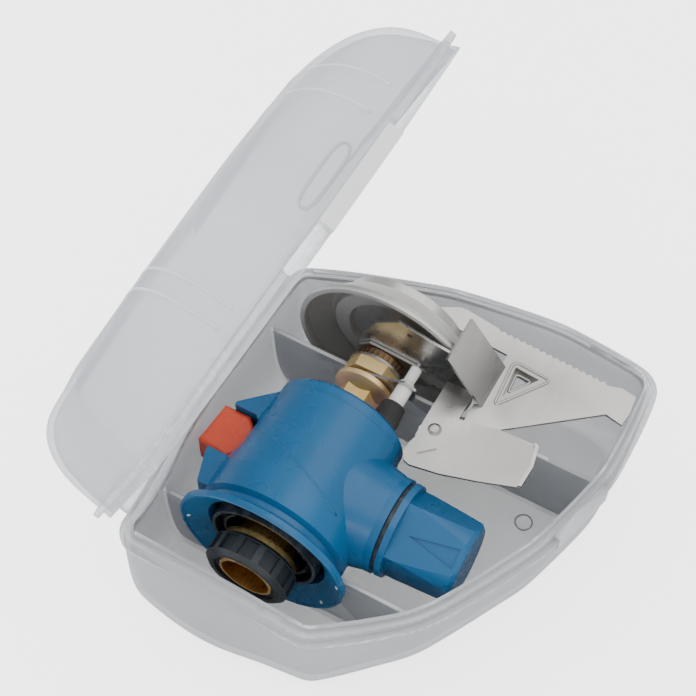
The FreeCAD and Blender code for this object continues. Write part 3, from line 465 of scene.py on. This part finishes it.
def round_angles(count):
    return [2 * math.pi * i / count for i in range(count)]


def skin_of(node):
    """Search tree of a node's surface."""
    mesh = NODES[node].data
    return BVHTree.FromPolygons([v.co for v in mesh.vertices], [list(p.vertices) for p in mesh.polygons])


def cast(tree, start, direction):
    """Point and outward normal where a ray first meets a surface, or None where it misses."""
    spot, normal, _, _ = tree.ray_cast(start, direction.normalized())
    if spot is None:
        return None
    return spot, (normal if normal.dot(direction) < 0 else -normal)


def split_hits(hits):
    """Lists of the points and of the normals of the rays that met a surface."""
    met = [hit for hit in hits if hit]
    return [spot for spot, _ in met], [normal for _, normal in met]


# ------------------------------------------------------------- lid details

HINGE = Vector((-70.6, 0.0, 54.2)) * MM
LID_OPEN = math.radians(67.0)
CLOSED_TO_REST = (Matrix.Translation(HINGE) @ Matrix.Rotation(-LID_OPEN, 4, "Y") @ Matrix.Translation(-HINGE))

RIDGE_COUNT = 6
RIDGE_MIDDLE = Vector((-9.0, -18.0, 120.0))
RIDGE_RUN = Vector((38.0, 28.0, 0.0))
RIDGE_STEP = Vector((2.6, -3.5, 0.0))
LONGEST_RIDGE = 2
RIDGE_SHORTENING = 0.11

SCOOP_MIDDLE = Vector((110.0, 6.0, 66.0))
SCOOP_HALF_LENGTH = 12.0
SCOOP_HALF_HEIGHT = 2.6

# Each row is a line's place along the hinge, the middle of its fan of rays, and its last angle.
LID_LINES = ((-45.0, -14.0, 128.0), (-38.5, -12.0, 50.0), (31.0, 4.0, 128.0), (43.5, 6.0, 50.0))
LID_LINE_FIRST_ANGLE = 6.0
LID_LINE_CENTRE_HEIGHT = 58.0
LID_LINE_RAY = 150.0


def on_lid(tree, start, direction):
    """Cast a ray given in the shut lid's coordinates, in millimetres."""
    first = CLOSED_TO_REST @ (Vector(start) * MM)
    second = CLOSED_TO_REST @ ((Vector(start) + Vector(direction)) * MM)
    return cast(tree, first, second - first)


def add_lid_ridges(tree, steps=14):
    """Slanting grip ridges moulded on top of the lid, shorter towards both sides."""
    groups = []
    taper = [max(0.12, math.sin(math.pi * i / steps)) ** 0.4 for i in range(steps + 1)]
    for k in range(RIDGE_COUNT):
        run = RIDGE_RUN * (1.0 - RIDGE_SHORTENING * abs(k - LONGEST_RIDGE))
        middle = RIDGE_MIDDLE + RIDGE_STEP * (k - (RIDGE_COUNT - 1) / 2)
        path, normals = split_hits(on_lid(tree, middle + run * (i / steps - 0.5), DOWN)
                                   for i in range(steps + 1))
        groups.append(swept(path, normals, half_round(wide=0.0013, high=0.0006), taper=taper))
    points, faces = merged(groups)
    add_piece("lid_grip_ridges", points, faces, materials["clear_pp"], "lid")


def add_lid_scoop(tree):
    """Raised outline of the finger scoop above the latch slot."""
    hits = []
    for angle in round_angles(48):
        y = SCOOP_HALF_LENGTH * math.copysign(abs(math.cos(angle)) ** 0.5, math.cos(angle))
        z = SCOOP_HALF_HEIGHT * math.copysign(abs(math.sin(angle)) ** 0.8, math.sin(angle))
        hits.append(on_lid(tree, SCOOP_MIDDLE + Vector((0.0, y, z)), (-1, 0, 0)))
    path, normals = split_hits(hits)
    points, faces = swept(path, normals, half_round(wide=0.0011, high=0.0004), closed=True)
    add_piece("lid_finger_scoop", points, faces, materials["clear_pp"], "lid")


def add_lid_lines(tree, steps=44):
    """Pale lines where the cross walls are moulded to the lid's skin; their paleness is a painted highlight.
    """
    groups = []
    for y, middle_x, last_angle in LID_LINES:
        hits = []
        for i in range(steps + 1):
            angle = math.radians(LID_LINE_FIRST_ANGLE + (last_angle - LID_LINE_FIRST_ANGLE) * i / steps)
            away = Vector((math.cos(angle), 0.0, math.sin(angle)))
            centre = Vector((middle_x, y, LID_LINE_CENTRE_HEIGHT))
            hits.append(on_lid(tree, centre + away * LID_LINE_RAY, -away))
        path, normals = split_hits(hits)
        groups.append(swept(path, normals, half_round(wide=0.0011, high=0.00022)))
    points, faces = merged(groups)
    add_piece("lid_wall_lines", points, faces, materials["pale_pp"], "lid")


# ------------------------------------------------------------ tray details

DIVIDER_PLACES = (-50.0, 29.0)
DIVIDER_TOP = 0.042
DIVIDER_TOP_SLACK = 0.0004
DIVIDER_MIDDLE_X = -8.0
DIVIDER_HALF_LENGTH = 62.0
SCAN_START = Vector((-67.0, 0.0, 53.0))
SCAN_LENGTH = 148.0
SCAN_STEPS = 300
FEWEST_RUN_POINTS = 4

# Each row is a catch's x, y and turn in degrees.
RIM_CATCHES = ((-12.0, -76.6, 1.5), (-2.0, -76.9, 1.5), (52.0, 76.2, -1.0), (61.0, 76.0, -1.0))
RIM_CATCH_HEIGHT = 51.6

EJECTOR_MARK = Vector((52.0, 20.5, 30.0))
EJECTOR_MARK_RADIUS = 3.3


def divider_runs(tree, y):
    """Stretches of a dividing wall's flat top, each a list of points along X."""
    runs = [[]]
    for i in range(SCAN_STEPS + 1):
        start = SCAN_START + Vector((SCAN_LENGTH * i / SCAN_STEPS, y, 0.0))
        hit = cast(tree, start * MM, DOWN)
        inside = abs(start.x - DIVIDER_MIDDLE_X) < DIVIDER_HALF_LENGTH
        if hit and inside and abs(hit[0].z - DIVIDER_TOP) < DIVIDER_TOP_SLACK:
            runs[-1].append(hit[0])
        elif runs[-1]:
            runs.append([])
    return [run for run in runs if len(run) >= FEWEST_RUN_POINTS]


def add_divider_edges(tree):
    """Rounded top edges of the dividing walls in the tray, pale to paint the bright highlight along them."""
    groups = []
    for y in DIVIDER_PLACES:
        for run in divider_runs(tree, y):
            path = [run[0], run[len(run) // 2], run[-1]]
            groups.append(swept(path, [UP] * len(path), half_round(wide=0.0014, high=0.0004)))
    points, faces = merged(groups)
    add_piece("divider_edges", points, faces, materials["pale_pp"], "case")


def add_rim_catches():
    """Small moulded catches on the outside of the tray's rim."""
    groups = []
    for x, y, angle in RIM_CATCHES:
        points, faces = eased_block(long=0.007, deep=0.0022, high=0.0024, ease=0.0004)
        place = Matrix.Translation(Vector((x, y, RIM_CATCH_HEIGHT)) * MM)
        turned = place @ Matrix.Rotation(math.radians(angle), 4, "Z")
        groups.append(([turned @ p for p in points], faces))
    points, faces = merged(groups)
    add_piece("rim_catches", points, faces, materials["frosted_pp"], "case", smooth=False)


def add_ejector_mark(tree):
    """Ring left by an ejector pin on the tray's floor."""
    path, normals = split_hits(
        cast(tree, (EJECTOR_MARK + Vector((math.cos(a), math.sin(a), 0.0)) * EJECTOR_MARK_RADIUS) * MM, DOWN)
        for a in round_angles(36))
    points, faces = swept(path, normals, half_round(wide=0.0007, high=0.00025), closed=True)
    add_piece("ejector_marks", points, faces, materials["frosted_pp"], "case")


# ------------------------------------------------------------ hinge strip

RIM_STRAIGHT_FROM = -34.0
RIM_STRAIGHT_TO = 12.0
RIM_SLOPE_BEFORE = 0.069
RIM_SLOPE_AFTER = 0.0494

# The strip's cross-section from the tray to the lid: distance from its foot along X, and height.
STRIP_SECTION = ((0.45, 52.7), (-0.9, 52.75), (-1.8, 53.1), (-2.5, 53.8), (-2.95, 54.7), (-3.15, 55.6),
                 (-3.1, 56.5), (-2.6, 57.35))
STRIP_FOOT_X = -67.95
STRIP_FROM = -69.0
STRIP_LENGTH = 116.0
STRIP_THICK = 0.6
STRIP_ROWS = 60
STRIP_LID_PULL = 0.4


def rim_pull(y):
    """How far the rims lie inside their straight part beside the hinge, in millimetres."""
    if y < RIM_STRAIGHT_FROM:
        return (RIM_STRAIGHT_FROM - y) * RIM_SLOPE_BEFORE
    if y > RIM_STRAIGHT_TO:
        return (y - RIM_STRAIGHT_TO) * RIM_SLOPE_AFTER
    return 0.0


def add_hinge_strip():
    """Thin living hinge that joins the two halves and bends between them."""
    points = []
    count = len(STRIP_SECTION)
    last = count - 1
    for k in range(STRIP_ROWS + 1):
        y = STRIP_FROM + STRIP_LENGTH * k / STRIP_ROWS
        for side in (0.0, STRIP_THICK):
            for i, (x, z) in enumerate(STRIP_SECTION):
                ahead = Vector(STRIP_SECTION[min(i + 1, last)])
                behind = Vector(STRIP_SECTION[max(i - 1, 0)])
                lean = (ahead - behind).normalized()
                pull = rim_pull(y) * (1 - (1 - STRIP_LID_PULL) * i / last)
                points.append(Vector((STRIP_FOOT_X + x + pull + lean.y * side, y, z - lean.x * side)) * MM)
    faces = []
    ring = list(range(count)) + [2 * count - 1 - i for i in range(count)]
    for k in range(STRIP_ROWS):
        for i in range(len(ring)):
            a = 2 * count * k + ring[i]
            b = 2 * count * k + ring[(i + 1) % len(ring)]
            faces.append((a, b, b + 2 * count, a + 2 * count))
    faces.append(tuple(ring))
    faces.append(tuple(2 * count * STRIP_ROWS + i for i in reversed(ring)))
    strip = add_piece("hinge_strip", points, faces, materials["clear_pp"], None)
    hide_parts("hinge_web")
    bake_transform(strip)


# ----------------------------------------------------------- stove details

AXIS = Vector((-19.2, 0.0, 46.4))
IN_FRONT_Y = -110.0
ABOVE_Z = 120.0

FLANGE_DOT_ANGLES = (3.0, -38.0, 183.0)
FLANGE_DOT_REACH = 30.6
GUARD_EDGE_RADIUS = 32.6

PARTING_LINE_ENDS = (Vector((-49.0, -19.0, ABOVE_Z)), Vector((2.0, -39.0, ABOVE_Z)))
PARTING_LINE_LOWEST = 0.052

# Each row is a pressed edge's corners, the rounding of its corners and its height.
PANEL_EDGES = ((((26.2, 54.8), (42.2, 53.6), (27.9, 33.6)), 3.0, 53.0),
               (((28.9, 51.6), (35.6, 51.2), (29.7, 42.6)), 1.6, 50.5))


def onto_guard(tree, reach, angle):
    """Where a ray along the stove's axis, offset from it, meets the front of the guard."""
    start = Vector((AXIS.x + reach * math.cos(angle), IN_FRONT_Y, AXIS.z + reach * math.sin(angle)))
    return cast(tree, start * MM, Vector((0, 1, 0)))


def add_flange_dots(tree):
    """Three small pale dots on the guard's flange."""
    groups = []
    for angle in FLANGE_DOT_ANGLES:
        hit = onto_guard(tree, FLANGE_DOT_REACH, math.radians(angle))
        if hit:
            groups.append(dome(*hit, radius=0.00075, high=0.0003))
    points, faces = merged(groups)
    add_piece("flange_dots", points, faces, materials["ceramic"], "stove")


def add_parting_line(tree, steps=40):
    """Fine parting line that runs down the shell from the button's shroud."""
    start, end = PARTING_LINE_ENDS
    hits = [cast(tree, start.lerp(end, i / steps) * MM, DOWN) for i in range(steps + 1)]
    path, normals = split_hits(hit for hit in hits if hit and hit[0].z > PARTING_LINE_LOWEST)
    points, faces = swept(path, normals, half_round(wide=0.0008, high=0.00022))
    add_piece("shell_parting_line", points, faces, materials["blue_plastic"], "stove")


def add_guard_bead(tree):
    """Rolled edge round the mouth of the cartridge guard."""
    path, _ = split_hits(onto_guard(tree, GUARD_EDGE_RADIUS, angle) for angle in round_angles(96))
    normals = [Vector((0, -1, 0))] * len(path)
    points, faces = swept(path, normals, half_round(wide=0.0016, high=0.0006), closed=True)
    add_piece("guard_edge_bead", points, faces, materials["blue_plastic"], "stove")


def add_panel_edges():
    """Pressed edges round the recessed panel of the large pan arm and round its window."""
    groups = []
    for corners, ease, height in PANEL_EDGES:
        path = eased_loop(corners, ease, height)
        groups.append(swept(path, [UP] * len(path), half_round(wide=0.0012, high=0.0005), closed=True))
    points, faces = merged(groups)
    add_piece("panel_pressed_edges", points, faces, materials["steel"], "upper_arm")


# ------------------------------------------------------------- whole scene

add_camera()
add_world()
for softbox in SOFTBOXES:
    add_softbox(*softbox)

materials = {name: make(name, base, lighter, **rest)
             for name, (make, base, lighter, rest) in FINISHES.items()}
dress_cad()

lid_skin = skin_of("case_lid")
add_lid_ridges(lid_skin)
add_lid_scoop(lid_skin)
add_lid_lines(lid_skin)

tray_skin = skin_of("case_tray")
add_divider_edges(tray_skin)
add_hinge_strip()
add_rim_catches()
add_ejector_mark(tray_skin)

shell_skin = skin_of("housing")
add_flange_dots(shell_skin)
add_parting_line(shell_skin)
add_guard_bead(shell_skin)
add_panel_edges()

add_floor()
